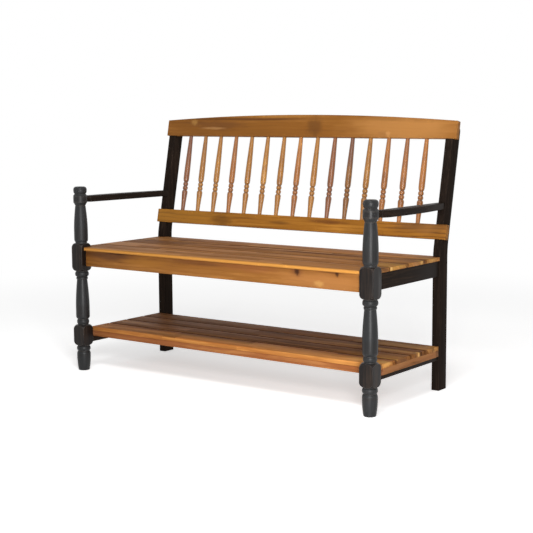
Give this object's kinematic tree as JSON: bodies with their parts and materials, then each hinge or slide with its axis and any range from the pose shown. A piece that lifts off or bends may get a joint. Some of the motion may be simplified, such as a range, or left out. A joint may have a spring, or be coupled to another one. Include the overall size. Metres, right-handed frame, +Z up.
{
  "type": "slatted bench with shelf",
  "caption": "Slatted wooden bench with turned black front posts, arms, a leaning spindle back and a low slatted shelf.",
  "frame": {"origin": "on the floor, in the middle of the bench's width and depth", "axes": "+X to the right of someone who faces the bench, +Y towards its back, +Z up"},
  "size_m": [1.2832, 0.5794, 0.9164],
  "materials": {
    "painted_wood": "satin black paint on wood, with the grain faintly showing and light wear on the edges",
    "oiled_wood": "satin oiled hardwood, golden to orange brown with darker streaks and small knots",
    "screw_steel": "zinc plated"
  },
  "bodies": {
    "root": {"front_post_left": "painted_wood", "front_post_right": "painted_wood", "back_leg_left": "painted_wood", "back_leg_right": "painted_wood", "arm_left": "painted_wood", "arm_right": "painted_wood", "side_apron_left": "painted_wood", "side_apron_right": "painted_wood", "bearer_left": "painted_wood", "bearer_right": "painted_wood", "front_apron": "oiled_wood", "back_apron": "oiled_wood", "seat_brace": "oiled_wood", "seat_cleat_left": "oiled_wood", "seat_cleat_right": "oiled_wood", "top_rail": "oiled_wood", "lower_rail": "oiled_wood", "shelf_front_rail": "oiled_wood", "shelf_back_rail": "oiled_wood", "shelf_end_rail_left": "oiled_wood", "shelf_end_rail_right": "oiled_wood", "shelf_brace": "oiled_wood", "seat_slat_1": "oiled_wood", "seat_slat_2": "oiled_wood", "seat_slat_3": "oiled_wood", "seat_slat_4": "oiled_wood", "shelf_slat_1": "oiled_wood", "shelf_slat_2": "oiled_wood", "shelf_slat_3": "oiled_wood", "shelf_slat_4": "oiled_wood", "spindle_01": "oiled_wood", "spindle_02": "oiled_wood", "spindle_03": "oiled_wood", "spindle_04": "oiled_wood", "spindle_05": "oiled_wood", "spindle_06": "oiled_wood", "spindle_07": "oiled_wood", "spindle_08": "oiled_wood", "spindle_09": "oiled_wood", "spindle_10": "oiled_wood", "spindle_11": "oiled_wood", "spindle_12": "oiled_wood", "spindle_13": "oiled_wood", "spindle_14": "oiled_wood", "spindle_15": "oiled_wood", "rail_screws": "screw_steel", "arm_screws": "screw_steel", "seat_screws": "screw_steel", "shelf_screws": "screw_steel", "bearer_screws": "screw_steel"}
  },
  "joints": []
}
